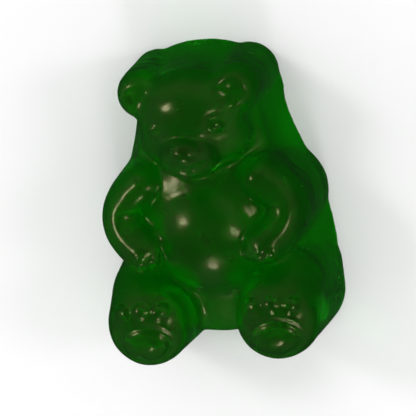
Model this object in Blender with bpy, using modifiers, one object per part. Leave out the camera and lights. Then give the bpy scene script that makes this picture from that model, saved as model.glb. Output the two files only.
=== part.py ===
"""A gummy bear lying on its flat back: one solid piece of jelly from an open mould.

Metres, +Z up. The bear looks up along +Z, its head points along +Y and its left hand
along +X. The origin is the middle of the flat back.

The lobes of the bear are domes standing on a smooth bed, all with walls that widen
towards the back, as in a mould that has to release the sweet.
"""
from math import sin

import bmesh
import bpy
import numpy as np
from mathutils import Vector

# Driving dimensions of the whole bear.
LENGTH = 0.0210
WIDTH = 0.0155
DEPTH = 0.0100

# How far each wall widens towards the back, as a share of the lobe's own width.
LOBE_DRAFT = 0.20
BED_DRAFT = 0.26

# The skin over the joined lobes, and how much its creases are rounded. The skin is made
# a little too deep and then cut flat, which leaves a small round at the edge of the back.
SKIN_VOXEL = 0.00019
SKIN_SOFTENING = 16
BACK_ROUNDING = 0.00028

# How uneven the sweet is: a sideways lean of the head, a twist, and a low ripple.
LEAN = 0.00030
TWIST = 0.00012
RIPPLE = 0.00004

MOST_TRIANGLES = 9400

JELLY_GREEN = (0.004, 0.17, 0.006, 1.0)


def across(share):
    """A distance along X, as a share of the bear's width."""
    return share * WIDTH


def along(share):
    """A distance along Y, as a share of the bear's length."""
    return share * LENGTH


def proud(share):
    """A height above the back, as a share of the bear's depth."""
    return share * DEPTH


def unit_ball(segments, rings):
    """The points of a ball of radius 1 and its faces, as lists of point numbers."""
    bm = bmesh.new()
    bmesh.ops.create_uvsphere(bm, u_segments=segments, v_segments=rings, radius=1.0)
    points = np.array([vertex.co for vertex in bm.verts])
    faces = [[vertex.index for vertex in face.verts] for face in bm.faces]
    bm.free()
    return points, faces


class Lobes:
    """Overlapping closed shapes, gathered before they are melted into one skin."""

    def __init__(self):
        self.ball, self.ball_faces = unit_ball(36, 18)
        self.points = []
        self.faces = []

    def _add(self, points):
        first = len(self.points)
        self.points.extend(map(tuple, points))
        self.faces.extend([first + corner for corner in face] for face in self.ball_faces)

    def ellipsoid(self, x, y, z, radius_x, radius_y, radius_z):
        """A closed ball shape, all in shares."""
        radii = (across(radius_x), along(radius_y), proud(radius_z))
        self._add(self.ball * radii + (across(x), along(y), proud(z)))

    def column(self, x, y, half_width, half_length, shoulder, front, fullness=2.0, draft=LOBE_DRAFT):
        """A dome from shoulder to front on a drafted wall that runs down past the back.

        All sizes but the last two are shares. A fullness of 2 is a round dome and more
        is a flatter one with tighter edges.
        """
        power = 2.0 / fullness
        under = self.ball[:, 2] < -1e-4
        reach = np.clip(np.hypot(self.ball[:, 0], self.ball[:, 1]), 1e-9, 1.0)
        spread = np.where(under, 1 + draft, reach ** (power - 1))
        rise = np.clip(self.ball[:, 2], 0.0, 1.0) ** power
        height = proud(shoulder) + proud(front - shoulder) * rise
        self._add(np.stack([
            across(x) + self.ball[:, 0] * spread * across(half_width),
            along(y) + self.ball[:, 1] * spread * along(half_length),
            np.where(under, -BACK_ROUNDING, height),
        ], axis=1))

    def limb(self, *stations, steps=8, **kind):
        """A row of columns along one smooth curve that passes through every station."""
        spans = len(stations) - 1
        curve = np.polyfit(np.linspace(0, 1, spans + 1), stations, spans)
        for t in np.linspace(0, 1, steps * spans + 1):
            self.column(*np.polyval(curve, t), **kind)


def add_bed(lobes):
    """The smooth outline at the back that all the other lobes stand on."""
    crown = (0, 0.325, 0.275, 0.140, 0.34, 0.56)
    neck = (0, 0.150, 0.305, 0.150, 0.34, 0.54)
    waist = (0, -0.050, 0.375, 0.180, 0.32, 0.52)
    hips = (0, -0.270, 0.390, 0.170, 0.30, 0.52)
    lobes.limb(crown, neck, waist, hips, steps=6, draft=BED_DRAFT)


def add_torso(lobes):
    lobes.column(0, -0.050, 0.32, 0.25, 0.45, 0.70)
    lobes.ellipsoid(0, -0.085, 0.50, 0.245, 0.185, 0.32)


def add_head(lobes):
    lobes.column(0, 0.310, 0.235, 0.150, 0.52, 0.84)
    lobes.column(0, 0.235, 0.245, 0.115, 0.48, 0.80)
    lobes.ellipsoid(0, 0.202, 0.66, 0.138, 0.084, 0.28)
    for side in (-1, 1):
        lobes.column(side * 0.205, 0.385, 0.105, 0.078, 0.52, 0.72)


def add_arm(lobes, side):
    shoulder = (side * 0.258, 0.088, 0.110, 0.075, 0.45, 0.70)
    elbow = (side * 0.365, -0.010, 0.100, 0.068, 0.46, 0.74)
    paw = (side * 0.265, -0.105, 0.105, 0.070, 0.60, 0.86)
    lobes.limb(shoulder, elbow, paw)


def add_leg(lobes, side):
    hip = (side * 0.306, -0.270, 0.168, 0.120, 0.42, 0.68)
    foot = (side * 0.285, -0.345, 0.187, 0.138, 0.64, 0.90)
    lobes.limb(hip, foot, fullness=2.5)


def new_object(name, mesh, collection):
    obj = bpy.data.objects.new(name, mesh)
    collection.objects.link(obj)
    return obj


def add_skin(obj, voxel, rounds):
    """Melts the joined shapes into one skin and rounds its creases."""
    skin = obj.modifiers.new("Skin", "REMESH")
    skin.mode = "VOXEL"
    skin.voxel_size = voxel
    rounding = obj.modifiers.new("Rounding", "SMOOTH")
    rounding.factor = 0.5
    rounding.iterations = rounds


def evaluated_bmesh(obj):
    """The object's shape with its modifiers, as a new bmesh."""
    graph = bpy.context.evaluated_depsgraph_get()
    bm = bmesh.new()
    bm.from_object(obj, graph)
    return bm


def smooth_step(value):
    value = np.clip(value, 0.0, 1.0)
    return value * value * (3 - 2 * value)


class Relief:
    """Heights to add to the front of the bear, from small named shapes."""

    def __init__(self, bm):
        self.x = np.array([v.co.x for v in bm.verts]) / WIDTH
        self.y = np.array([v.co.y for v in bm.verts]) / LENGTH
        self.lift = np.zeros(len(self.x))

    def _distance(self, x, y, radius_x, radius_y):
        return np.hypot((self.x - x) / radius_x, (self.y - y) / radius_y)

    def bump(self, x, y, radius_x, radius_y, height):
        """A rounded bump, or a dimple if the height is negative."""
        self.lift += height * smooth_step(1.25 - self._distance(x, y, radius_x, radius_y))

    def ring(self, x, y, radius_x, radius_y, height, thickness=0.35):
        distance = self._distance(x, y, radius_x, radius_y)
        self.lift += height * smooth_step(1 - np.abs(distance - 1) / thickness)

    def stroke(self, start, end, half_width, height):
        """A straight ridge, or a groove if the height is negative."""
        start, end = np.array(start), np.array(end)
        scale = np.array([WIDTH, LENGTH])
        run = (end - start) * scale
        from_start = np.stack([self.x - start[0], self.y - start[1]], axis=1) * scale
        t = np.clip(from_start @ run / (run @ run), 0, 1)
        gap = np.linalg.norm(from_start - t[:, None] * run, axis=1)
        self.lift += height * smooth_step(1 - gap / (half_width * WIDTH))

    def press(self, bm):
        """Moves the surface in or out where it faces the front."""
        bm.normal_update()
        for vertex, lift in zip(bm.verts, self.lift):
            if lift:
                facing = float(smooth_step((vertex.normal.z - 0.20) / 0.55))
                vertex.co += vertex.normal * (float(lift) * facing)


def shape_face(relief):
    for side in (-1, 1):
        relief.bump(side * 0.208, 0.383, 0.055, 0.041, -0.00045)
        relief.bump(side * 0.140, 0.288, 0.058, 0.042, -0.00018)
        relief.bump(side * 0.140, 0.288, 0.032, 0.023, 0.00032)
        relief.stroke((0, 0.163), (side * 0.080, 0.178), 0.036, -0.00020)
    relief.bump(0, 0.230, 0.062, 0.034, 0.00028)


def shape_paws(relief):
    for side in (-1, 1):
        for finger in (-1, 0, 1):
            relief.bump(side * 0.258 + finger * 0.060, -0.128, 0.028, 0.030, 0.00020)
        for toe in (-1, 0, 1):
            x, y = side * 0.285 + toe * 0.082, -0.278 - 0.008 * toe * toe
            relief.bump(x, y, 0.038, 0.027, 0.00026)
        relief.bump(side * 0.285, -0.392, 0.085, 0.046, 0.00018)
        relief.ring(side * 0.285, -0.392, 0.116, 0.063, -0.00016, thickness=0.28)


def settle(bm):
    """Leans, twists and ripples the sweet a little, then brings it to its driving size."""
    for vertex in bm.verts:
        x, y, z = vertex.co.x / WIDTH, vertex.co.y / LENGTH, vertex.co.z / DEPTH
        vertex.co.x -= LEAN * (y + 0.5) ** 2
        vertex.co.z += TWIST * 4 * x * y * z
        ripple = sin(9 * x + 5 * y + 1.0) * sin(8 * y - 4 * x + 6 * z + 0.4)
        vertex.co.xyz += vertex.normal * (RIPPLE * ripple * min(1.0, 3 * max(z, 0.0)))
    low = Vector(min(v.co[i] for v in bm.verts) for i in range(3))
    high = Vector(max(v.co[i] for v in bm.verts) for i in range(3))
    size = (WIDTH, LENGTH, DEPTH + BACK_ROUNDING)
    for vertex in bm.verts:
        for i in range(3):
            vertex.co[i] = (vertex.co[i] - low[i]) / (high[i] - low[i]) * size[i]
        vertex.co -= Vector((WIDTH / 2, LENGTH / 2, BACK_ROUNDING))


def backing_block(collection):
    """A cutter whose upper face is the plane of the back."""
    bm = bmesh.new()
    bmesh.ops.create_cube(bm, size=1.0)
    for vertex in bm.verts:
        vertex.co = Vector((
            vertex.co.x * WIDTH * 2, vertex.co.y * LENGTH * 2, (vertex.co.z - 0.5) * DEPTH,
        ))
    mesh = bpy.data.meshes.new("backing")
    bm.to_mesh(mesh)
    bm.free()
    block = new_object("backing", mesh, collection)
    block.hide_render = True
    block.display_type = "WIRE"
    return block


def jelly():
    material = bpy.data.materials.new("green_jelly")
    material.use_nodes = True
    shader = material.node_tree.nodes["Principled BSDF"]
    shader.inputs["Base Color"].default_value = JELLY_GREEN
    shader.inputs["Roughness"].default_value = 0.2
    shader.inputs["Metallic"].default_value = 0.0
    return material


def main():
    for obj in list(bpy.data.objects):
        bpy.data.objects.remove(obj)
    scene = bpy.context.scene.collection
    bear_parts = bpy.data.collections.new("gummy_bear")
    cutters = bpy.data.collections.new("cutters")
    scene.children.link(bear_parts)
    scene.children.link(cutters)

    lobes = Lobes()
    add_bed(lobes)
    add_torso(lobes)
    add_head(lobes)
    for side in (-1, 1):
        add_arm(lobes, side)
        add_leg(lobes, side)
    mesh = bpy.data.meshes.new("form")
    mesh.from_pydata(lobes.points, [], lobes.faces)
    form = new_object("form", mesh, cutters)
    add_skin(form, SKIN_VOXEL, SKIN_SOFTENING)
    bm = evaluated_bmesh(form)
    bpy.data.objects.remove(form)

    relief = Relief(bm)
    shape_face(relief)
    shape_paws(relief)
    relief.press(bm)
    settle(bm)
    triangles = sum(len(face.verts) - 2 for face in bm.faces)

    mesh = bpy.data.meshes.new("gummy_bear")
    bm.to_mesh(mesh)
    bm.free()
    bear = new_object("gummy_bear", mesh, bear_parts)
    fewer = bear.modifiers.new("Fewer facets", "DECIMATE")
    fewer.ratio = MOST_TRIANGLES / triangles
    cut = bear.modifiers.new("Flat back", "BOOLEAN")
    cut.object = backing_block(cutters)
    cut.operation = "DIFFERENCE"
    cut.solver = "EXACT"
    bear.data.materials.append(jelly())


main()
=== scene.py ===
"""A green gummy bear lying on its flat back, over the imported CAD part.

Metres, in the CAD part's frame: +Z out of the face, +Y towards the ears, and the origin in
the middle of the flat back. The CAD solid is replaced by the same bear at a finer grain,
with the mould's small relief, the shallow dish of its open side and a jelly material.
"""
from math import cos, radians, sin

import bmesh
import bpy
import numpy as np
from mathutils import Matrix, Vector


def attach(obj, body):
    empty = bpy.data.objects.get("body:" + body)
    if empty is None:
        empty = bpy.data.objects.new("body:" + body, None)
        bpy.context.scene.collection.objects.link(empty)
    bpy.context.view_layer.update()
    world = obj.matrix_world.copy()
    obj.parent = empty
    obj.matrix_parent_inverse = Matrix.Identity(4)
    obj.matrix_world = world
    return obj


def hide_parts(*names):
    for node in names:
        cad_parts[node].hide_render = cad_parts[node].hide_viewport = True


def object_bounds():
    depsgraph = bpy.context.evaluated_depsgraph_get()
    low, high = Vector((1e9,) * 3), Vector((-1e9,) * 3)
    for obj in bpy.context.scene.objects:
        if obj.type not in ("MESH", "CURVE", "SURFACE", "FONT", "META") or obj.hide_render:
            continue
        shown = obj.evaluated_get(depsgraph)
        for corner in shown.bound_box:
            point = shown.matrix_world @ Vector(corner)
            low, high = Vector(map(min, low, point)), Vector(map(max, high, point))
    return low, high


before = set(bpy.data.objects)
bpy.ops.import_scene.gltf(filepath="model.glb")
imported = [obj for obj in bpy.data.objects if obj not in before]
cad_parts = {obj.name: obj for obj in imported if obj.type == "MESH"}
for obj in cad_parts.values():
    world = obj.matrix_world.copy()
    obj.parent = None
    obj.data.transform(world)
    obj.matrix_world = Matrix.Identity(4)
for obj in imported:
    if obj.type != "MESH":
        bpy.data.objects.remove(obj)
cad_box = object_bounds()
WIDTH, LENGTH, DEPTH = Vector(cad_box[1]) - Vector(cad_box[0])
MIDDLE = (Vector(cad_box[0]) + Vector(cad_box[1])) / 2

# How far each wall widens towards the back, as a share of the lobe's own width.
LOBE_DRAFT = 0.20
BED_DRAFT = 0.26

# The ball that every lobe is bent from, the skin over the joined lobes, and how many times
# the skin's creases are rounded.
BALL_SEGMENTS = 64
BALL_RINGS = 32
SKIN_VOXEL = 0.00013
SKIN_SOFTENING = 34

# The relief fades out where the skin's normal has less of an upward part than this, and is
# whole where it has FACING_RANGE more.
FACING_LEAST = 0.20
FACING_RANGE = 0.55

# The back: how much is pressed flat, the round at its edge, how deep its middle dips, and
# the outline of that dip in shares, which is narrower at the head.
BACK_PRESS = 0.00028
BACK_EDGE = 0.00012
BACK_DISH = 0.00015
DISH_HALF_WIDTH = 0.37
DISH_TAPER = 0.12
DISH_HALF_LENGTH = 0.44

# How uneven the sweet is: a sideways lean of the head, a twist, and two ripples, which fade
# out below a third of the depth.
LEAN = 0.00030
TWIST = 0.00012
RIPPLE = 0.00004
FINE_RIPPLE = 0.000012
RIPPLE_FADE = 3

# The jelly's index, its light absorption for each metre of depth, and its skin's grain.
JELLY_INDEX = 1.40
JELLY_TINT = (0.28, 0.90, 0.04, 1)
JELLY_DENSITY = 900
GRAIN_DEPTH = 0.00008

# Strengths of the sky at the horizon and overhead: as light, and as seen in reflections.
SKY_LIGHT = (3.2, 0.48)
SKY_REFLECTED = (0.02, 0.10)


def across(share):
    """A distance along X, as a share of the bear's width."""
    return share * WIDTH


def along(share):
    """A distance along Y, as a share of the bear's length."""
    return share * LENGTH


def proud(share):
    """A height above the back, as a share of the bear's depth."""
    return share * DEPTH


def smooth_step(value):
    """Eases from 0 to 1, and stays there outside them."""
    value = np.clip(value, 0.0, 1.0)
    return value * value * (3 - 2 * value)


def new_object(name, data):
    obj = bpy.data.objects.new(name, data)
    bpy.context.scene.collection.objects.link(obj)
    return obj


# ---------------------------------------------------------------- form

def unit_ball(segments, rings):
    """The points of a ball of radius 1 and its faces, as lists of point numbers."""
    bm = bmesh.new()
    bmesh.ops.create_uvsphere(bm, u_segments=segments, v_segments=rings, radius=1.0)
    points = np.array([vertex.co for vertex in bm.verts])
    faces = [[vertex.index for vertex in face.verts] for face in bm.faces]
    bm.free()
    return points, faces


class Lobes:
    """Overlapping closed shapes, gathered before they are melted into one skin."""

    def __init__(self):
        self.ball, self.ball_faces = unit_ball(BALL_SEGMENTS, BALL_RINGS)
        self.points = []
        self.faces = []

    def _add(self, points):
        first = len(self.points)
        self.points.extend(map(tuple, points))
        self.faces.extend([first + corner for corner in face] for face in self.ball_faces)

    def ellipsoid(self, x, y, z, radius_x, radius_y, radius_z):
        """A closed ball shape, all in shares."""
        radii = (across(radius_x), along(radius_y), proud(radius_z))
        self._add(self.ball * radii + (across(x), along(y), proud(z)))

    def column(self, x, y, half_width, half_length, shoulder, front,
               fullness=2.0, draft=LOBE_DRAFT):
        """A dome from shoulder to front on a drafted wall that runs down past the back.

        The first six are shares. A fullness of 2 is a round dome, and more is a flatter one
        with tighter edges.
        """
        power = 2.0 / fullness
        under = self.ball[:, 2] < -1e-4
        reach = np.clip(np.hypot(self.ball[:, 0], self.ball[:, 1]), 1e-9, 1.0)
        spread = np.where(under, 1 + draft, reach ** (power - 1))
        rise = np.clip(self.ball[:, 2], 0.0, 1.0) ** power
        height = proud(shoulder) + proud(front - shoulder) * rise
        self._add(np.stack([
            across(x) + self.ball[:, 0] * spread * across(half_width),
            along(y) + self.ball[:, 1] * spread * along(half_length),
            np.where(under, -BACK_PRESS, height),
        ], axis=1))

    def limb(self, *stations, steps=14, **kind):
        """A row of columns along one smooth curve that passes through every station."""
        spans = len(stations) - 1
        curve = np.polyfit(np.linspace(0, 1, spans + 1), stations, spans)
        for t in np.linspace(0, 1, steps * spans + 1):
            self.column(*np.polyval(curve, t), **kind)


def add_bed(lobes):
    """The smooth outline at the back that all the other lobes stand on."""
    crown = (0, 0.325, 0.275, 0.140, 0.34, 0.56)
    neck = (0, 0.150, 0.305, 0.150, 0.34, 0.54)
    waist = (0, -0.050, 0.375, 0.180, 0.32, 0.52)
    hips = (0, -0.270, 0.390, 0.170, 0.30, 0.52)
    lobes.limb(crown, neck, waist, hips, steps=8, draft=BED_DRAFT)


def add_torso(lobes):
    lobes.column(0, -0.050, 0.32, 0.25, 0.45, 0.70)
    lobes.ellipsoid(0, -0.085, 0.50, 0.245, 0.185, 0.32)


def add_head(lobes):
    lobes.column(0, 0.310, 0.235, 0.150, 0.52, 0.84)
    lobes.column(0, 0.235, 0.245, 0.115, 0.48, 0.80)
    lobes.ellipsoid(0, 0.202, 0.66, 0.138, 0.084, 0.28)
    for side in (-1, 1):
        lobes.column(side * 0.205, 0.385, 0.105, 0.078, 0.52, 0.72)


def add_arm(lobes, side):
    shoulder = (side * 0.258, 0.088, 0.110, 0.075, 0.45, 0.70)
    elbow = (side * 0.365, -0.010, 0.100, 0.068, 0.46, 0.74)
    paw = (side * 0.265, -0.105, 0.105, 0.070, 0.60, 0.86)
    lobes.limb(shoulder, elbow, paw)


def add_leg(lobes, side):
    hip = (side * 0.306, -0.270, 0.168, 0.120, 0.42, 0.68)
    foot = (side * 0.285, -0.345, 0.187, 0.138, 0.64, 0.90)
    lobes.limb(hip, foot, fullness=2.5)


def melted_skin(lobes):
    """One closed skin over all the lobes, with its creases rounded."""
    mesh = bpy.data.meshes.new("form")
    mesh.from_pydata(lobes.points, [], lobes.faces)
    form = new_object("form", mesh)
    skin = form.modifiers.new("Skin", "REMESH")
    skin.mode = "VOXEL"
    skin.voxel_size = SKIN_VOXEL
    rounding = form.modifiers.new("Rounding", "SMOOTH")
    rounding.factor = 0.5
    rounding.iterations = SKIN_SOFTENING
    graph = bpy.context.evaluated_depsgraph_get()
    melted = bpy.data.meshes.new_from_object(form.evaluated_get(graph))
    bpy.data.objects.remove(form)
    return melted


# ---------------------------------------------------------------- relief

def points_of(mesh):
    values = np.empty(len(mesh.vertices) * 3)
    mesh.vertices.foreach_get("co", values)
    return values.reshape(-1, 3)


def normals_of(mesh):
    values = np.empty(len(mesh.vertices) * 3)
    mesh.vertex_normals.foreach_get("vector", values)
    return values.reshape(-1, 3)


def set_points(mesh, points):
    mesh.vertices.foreach_set("co", points.ravel())
    mesh.update()


class Relief:
    """Heights to add to the front of the bear, from small named shapes."""

    def __init__(self, points):
        self.x = points[:, 0] / WIDTH
        self.y = points[:, 1] / LENGTH
        self.lift = np.zeros(len(points))

    def _distance(self, x, y, radius_x, radius_y):
        return np.hypot((self.x - x) / radius_x, (self.y - y) / radius_y)

    def bump(self, x, y, radius_x, radius_y, height):
        """A rounded bump, or a dimple if the height is negative."""
        self.lift += height * smooth_step(1.25 - self._distance(x, y, radius_x, radius_y))

    def ring(self, x, y, radius_x, radius_y, height, thickness):
        """An oval ridge, or a groove if the height is negative."""
        distance = self._distance(x, y, radius_x, radius_y)
        self.lift += height * smooth_step(1 - np.abs(distance - 1) / thickness)

    def stroke(self, start, end, half_width, height):
        """A straight ridge, or a groove if the height is negative."""
        start, end = np.array(start), np.array(end)
        scale = np.array([WIDTH, LENGTH])
        run = (end - start) * scale
        from_start = np.stack([self.x - start[0], self.y - start[1]], axis=1) * scale
        t = np.clip(from_start @ run / (run @ run), 0, 1)
        gap = np.linalg.norm(from_start - t[:, None] * run, axis=1)
        self.lift += height * smooth_step(1 - gap / (half_width * WIDTH))


def shape_face(relief):
    """Hollow ears, eyes that are beads in shallow sockets, a smile and a nose."""
    for side in (-1, 1):
        relief.bump(side * 0.208, 0.383, 0.055, 0.041, -0.00045)
        relief.bump(side * 0.140, 0.288, 0.058, 0.042, -0.00018)
        relief.bump(side * 0.140, 0.288, 0.032, 0.023, 0.00032)
        relief.stroke((0, 0.163), (side * 0.080, 0.178), 0.036, -0.00020)
    relief.bump(0, 0.230, 0.062, 0.034, 0.00028)


def shape_paws(relief):
    """Three fingers and three toes on each side, and a sole pad with a groove round it."""
    for side in (-1, 1):
        for finger in (-1, 0, 1):
            relief.bump(side * 0.258 + finger * 0.060, -0.128, 0.028, 0.030, 0.00020)
        for toe in (-1, 0, 1):
            x, y = side * 0.285 + toe * 0.082, -0.278 - 0.008 * toe * toe
            relief.bump(x, y, 0.038, 0.027, 0.00026)
        relief.bump(side * 0.285, -0.392, 0.085, 0.046, 0.00018)
        relief.ring(side * 0.285, -0.392, 0.116, 0.063, -0.00016, thickness=0.28)


def press_relief(mesh):
    """Moves the skin in or out where it faces the front."""
    points, normals = points_of(mesh), normals_of(mesh)
    relief = Relief(points)
    shape_face(relief)
    shape_paws(relief)
    facing = smooth_step((normals[:, 2] - FACING_LEAST) / FACING_RANGE)
    set_points(mesh, points + normals * (relief.lift * facing)[:, None])


def settle(mesh):
    """Leans, twists and ripples the sweet, flattens its back and brings it to the CAD's size."""
    points, normals = points_of(mesh), normals_of(mesh)
    x, y, z = points[:, 0] / WIDTH, points[:, 1] / LENGTH, points[:, 2] / DEPTH
    points[:, 0] -= LEAN * (y + 0.5) ** 2
    points[:, 2] += TWIST * 4 * x * y * z
    wide = np.sin(9 * x + 5 * y + 1.0) * np.sin(8 * y - 4 * x + 6 * z + 0.4)
    fine = np.sin(41 * x + 17 * z + 2.0) * np.sin(53 * y + 23 * x) * np.sin(37 * z + 11 * y)
    fade = np.clip(RIPPLE_FADE * z, 0.0, 1.0)
    points += normals * ((RIPPLE * wide + FINE_RIPPLE * fine) * fade)[:, None]

    low, high = points.min(axis=0), points.max(axis=0)
    size = np.array((WIDTH, LENGTH, DEPTH + BACK_PRESS))
    points = (points - low) / (high - low) * size - (WIDTH / 2, LENGTH / 2, BACK_PRESS)
    z = points[:, 2]
    z = (z + np.hypot(z, BACK_EDGE)) / 2
    z = (z - z.min()) * DEPTH / (z.max() - z.min())

    x, y = points[:, 0] / WIDTH, points[:, 1] / LENGTH
    dish_half_width = DISH_HALF_WIDTH - DISH_TAPER * y
    inside = 1 - (x / dish_half_width) ** 4 - (y / DISH_HALF_LENGTH) ** 4
    low_down = smooth_step(2 - z / BACK_EDGE)
    points[:, 2] = z + BACK_DISH * smooth_step(inside) * low_down
    set_points(mesh, points + (MIDDLE.x, MIDDLE.y, MIDDLE.z - DEPTH / 2))


def make_bear():
    lobes = Lobes()
    add_bed(lobes)
    add_torso(lobes)
    add_head(lobes)
    for side in (-1, 1):
        add_arm(lobes, side)
        add_leg(lobes, side)
    skin = melted_skin(lobes)
    press_relief(skin)
    settle(skin)
    skin.shade_smooth()
    return new_object("jelly_bear", skin)


# ---------------------------------------------------------------- materials

def noise(nodes, links, vector, scale, detail=2.0):
    node = nodes.new("ShaderNodeTexNoise")
    node.inputs["Scale"].default_value = scale
    node.inputs["Detail"].default_value = detail
    links.new(vector, node.inputs["Vector"])
    return node.outputs["Fac"]


def jelly_material():
    """Clear green jelly that darkens with depth and has a lightly frosted, uneven skin."""
    material = bpy.data.materials.new("green_jelly")
    material.use_nodes = True
    nodes, links = material.node_tree.nodes, material.node_tree.links
    shader = nodes["Principled BSDF"]
    place = nodes.new("ShaderNodeTexCoord").outputs["Object"]

    tone = nodes.new("ShaderNodeValToRGB")
    tone.color_ramp.elements[0].position = 0.3
    tone.color_ramp.elements[0].color = (0.020, 0.96, 0.008, 1)
    tone.color_ramp.elements[1].position = 0.7
    tone.color_ramp.elements[1].color = (0.045, 0.99, 0.015, 1)
    links.new(noise(nodes, links, place, 220), tone.inputs["Fac"])
    links.new(tone.outputs["Color"], shader.inputs["Base Color"])

    gloss = nodes.new("ShaderNodeMapRange")
    gloss.inputs["To Min"].default_value = 0.18
    gloss.inputs["To Max"].default_value = 0.32
    links.new(noise(nodes, links, place, 600), gloss.inputs["Value"])
    links.new(gloss.outputs["Result"], shader.inputs["Roughness"])

    bump = nodes.new("ShaderNodeBump")
    bump.inputs["Strength"].default_value = 0.35
    bump.inputs["Distance"].default_value = GRAIN_DEPTH
    links.new(noise(nodes, links, place, 1100, 3.0), bump.inputs["Height"])
    links.new(bump.outputs["Normal"], shader.inputs["Normal"])

    shader.inputs["IOR"].default_value = JELLY_INDEX
    shader.inputs["Transmission Weight"].default_value = 1.0
    shader.inputs["Coat Weight"].default_value = 0.08
    shader.inputs["Coat Roughness"].default_value = 0.10
    shader.inputs["Specular Tint"].default_value = (1.0, 0.85, 0.4, 1)

    absorption = nodes.new("ShaderNodeVolumeAbsorption")
    absorption.inputs["Color"].default_value = JELLY_TINT
    absorption.inputs["Density"].default_value = JELLY_DENSITY
    links.new(absorption.outputs["Volume"], nodes["Material Output"].inputs["Volume"])
    return material


def floor_material():
    material = bpy.data.materials.new("white_sweep")
    material.use_nodes = True
    shader = material.node_tree.nodes["Principled BSDF"]
    shader.inputs["Base Color"].default_value = (0.90, 0.90, 0.90, 1)
    shader.inputs["Roughness"].default_value = 0.6
    return material


# ---------------------------------------------------------------- studio

def make_floor():
    """A pale floor just under the bear, which the jelly's reflections leave out."""
    mesh = bpy.data.meshes.new("floor")
    reach = 0.6
    corners = [(-reach, -reach, 0), (reach, -reach, 0), (reach, reach, 0), (-reach, reach, 0)]
    mesh.from_pydata(corners, [], [(0, 1, 2, 3)])
    floor = new_object("floor", mesh)
    floor.location.z = -0.00001
    floor.data.materials.append(floor_material())
    floor.visible_glossy = False
    return floor


def make_light(name, place, size, power):
    """A round soft lamp that points at the bear."""
    lamp = bpy.data.lights.new(name, "AREA")
    lamp.shape = "DISK"
    lamp.size = size
    lamp.energy = power
    obj = new_object(name, lamp)
    obj.location = place
    obj.rotation_euler = (MIDDLE - Vector(place)).to_track_quat("-Z", "Y").to_euler()


def by_height(nodes, links, height, first, last, strengths):
    """A strength that eases from one to the other between two heights of the sky."""
    node = nodes.new("ShaderNodeMapRange")
    node.interpolation_type = "SMOOTHSTEP"
    node.inputs["From Min"].default_value = first
    node.inputs["From Max"].default_value = last
    node.inputs["To Min"].default_value, node.inputs["To Max"].default_value = strengths
    links.new(height, node.inputs["Value"])
    return node.outputs["Result"]


def make_world():
    """White light, mostly from the sides, with only a faint glow overhead in reflections."""
    world = bpy.data.worlds.new("studio")
    bpy.context.scene.world = world
    world.use_nodes = True
    nodes, links = world.node_tree.nodes, world.node_tree.links
    background = nodes["Background"]
    background.inputs["Color"].default_value = (1, 1, 1, 1)
    direction = nodes.new("ShaderNodeSeparateXYZ")
    links.new(nodes.new("ShaderNodeTexCoord").outputs["Generated"], direction.inputs["Vector"])
    height = direction.outputs["Z"]
    strength = nodes.new("ShaderNodeMapRange")
    links.new(nodes.new("ShaderNodeLightPath").outputs["Is Glossy Ray"], strength.inputs["Value"])
    light = by_height(nodes, links, height, 0.0, 0.7, SKY_LIGHT)
    reflected = by_height(nodes, links, height, 0.8, 1.0, SKY_REFLECTED)
    links.new(light, strength.inputs["To Min"])
    links.new(reflected, strength.inputs["To Max"])
    links.new(strength.outputs["Result"], background.inputs["Strength"])


def make_camera(roll, pitch, lean, share_of_frame):
    """Looks down on the face, swung by roll towards +X and by pitch towards the ears.

    The lean turns the bear's head to the left in the picture.
    """
    swing, tip, turn = radians(roll), radians(pitch), radians(lean)
    back = Vector((sin(swing) * cos(tip), sin(tip), cos(swing) * cos(tip)))
    right = Vector((0, 1, 0)).cross(back).normalized()
    up = back.cross(right)
    right, up = right * cos(turn) - up * sin(turn), right * sin(turn) + up * cos(turn)
    data = bpy.data.cameras.new("camera")
    data.lens = 180
    data.clip_start = 0.001
    camera = new_object("camera", data)
    distance = LENGTH / share_of_frame * data.lens / data.sensor_width
    turned = Matrix((right, up, back)).transposed().to_4x4()
    camera.matrix_world = Matrix.Translation(MIDDLE + back * distance) @ turned
    bpy.context.scene.camera = camera


bear = make_bear()
bear.data.materials.append(jelly_material())
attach(bear, "root")
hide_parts("gummy_bear")

make_floor()
make_light("left", (-0.34, 0.24, 0.36), 0.12, 0.60)
make_light("right", (0.38, 0.03, 0.31), 0.12, 0.32)
make_light("lower", (0.03, -0.38, 0.33), 0.12, 0.42)
make_world()
make_camera(roll=14, pitch=14, lean=7, share_of_frame=0.76)
bpy.context.scene.view_settings.view_transform = "Standard"
